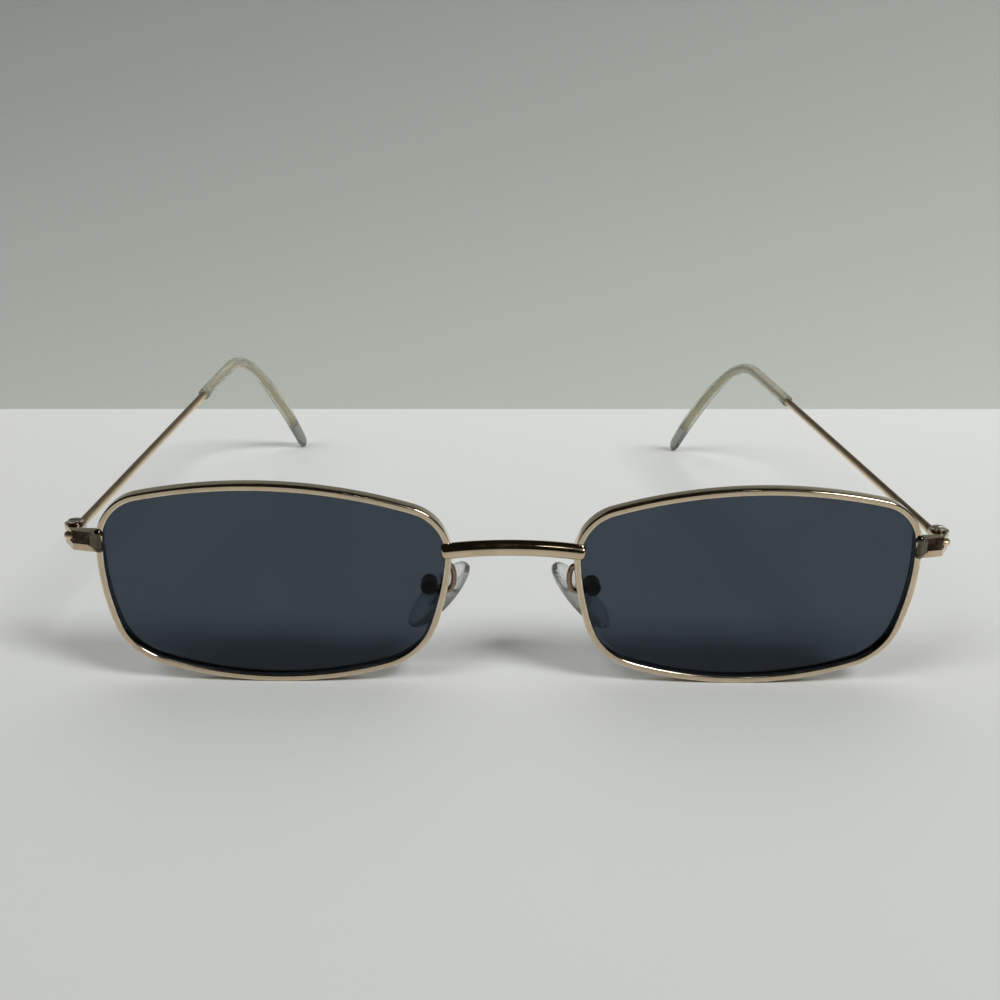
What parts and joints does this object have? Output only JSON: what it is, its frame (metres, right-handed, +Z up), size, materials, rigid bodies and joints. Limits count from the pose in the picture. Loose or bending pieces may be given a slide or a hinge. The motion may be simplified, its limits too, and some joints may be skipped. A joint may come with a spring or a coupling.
{
  "type": "sunglasses",
  "caption": "Full-rim metal sunglasses with narrow rectangular tinted lenses, a straight bar bridge, folding wire temples with clear tips, and rocking nose pads.",
  "frame": {"origin": "on the table under the middle of the whole object's outline, with the temples open", "axes": "+Z up, -Y out of the front of the lenses, +Y along the temples towards the ears, +X to the wearer's left"},
  "size_m": [0.1404, 0.1364, 0.0326],
  "materials": {
    "gold_frame": "polished pale gold plating",
    "gold_wire": "polished pale gold plating on drawn wire",
    "screw_gold": "pale gold plated steel",
    "sun_lens": "polished slate grey sun lens",
    "clear_tip": "clear, polished, faintly yellow",
    "clear_pad": "clear, polished",
    "pad_insert": "clear, hard"
  },
  "bodies": {
    "front": {"bridge": "gold_frame", "right_rim": "gold_frame", "left_rim": "gold_frame", "right_lens": "sun_lens", "left_lens": "sun_lens", "right_end_piece": "gold_frame", "left_end_piece": "gold_frame", "right_rim_lock": "gold_frame", "left_rim_lock": "gold_frame", "right_rim_screw": "screw_gold", "left_rim_screw": "screw_gold", "right_hinge_screw": "screw_gold", "left_hinge_screw": "screw_gold", "right_pad_arm": "gold_frame", "left_pad_arm": "gold_frame", "right_pad_box": "gold_frame", "left_pad_box": "gold_frame", "right_pad_screw": "screw_gold", "left_pad_screw": "screw_gold"},
    "right_temple": {"right_temple": "gold_wire", "right_temple_tip": "clear_tip"},
    "left_temple": {"left_temple": "gold_wire", "left_temple_tip": "clear_tip"},
    "right_pad": {"right_nose_pad": "clear_pad", "right_pad_insert": "pad_insert"},
    "left_pad": {"left_nose_pad": "clear_pad", "left_pad_insert": "pad_insert"}
  },
  "joints": [
    {"name": "left_temple_fold", "type": "hinge", "parent": "front", "child": "left_temple", "pos_m": [0.06853, -0.06048, 0.02325], "axis": [0, 0, 1], "range_deg": [0, 79]},
    {"name": "right_temple_fold", "type": "hinge", "parent": "front", "child": "right_temple", "pos_m": [-0.06853, -0.06048, 0.02325], "axis": [0, 0, -1], "range_deg": [0, 72]},
    {"name": "left_pad_rock", "type": "hinge", "parent": "front", "child": "left_pad", "pos_m": [0.013, -0.06086, 0.01445], "axis": [0, 1, 0], "range_deg": [-8, 8]},
    {"name": "right_pad_rock", "type": "hinge", "parent": "front", "child": "right_pad", "pos_m": [-0.013, -0.06086, 0.01445], "axis": [0, 1, 0], "range_deg": [-8, 8]}
  ]
}
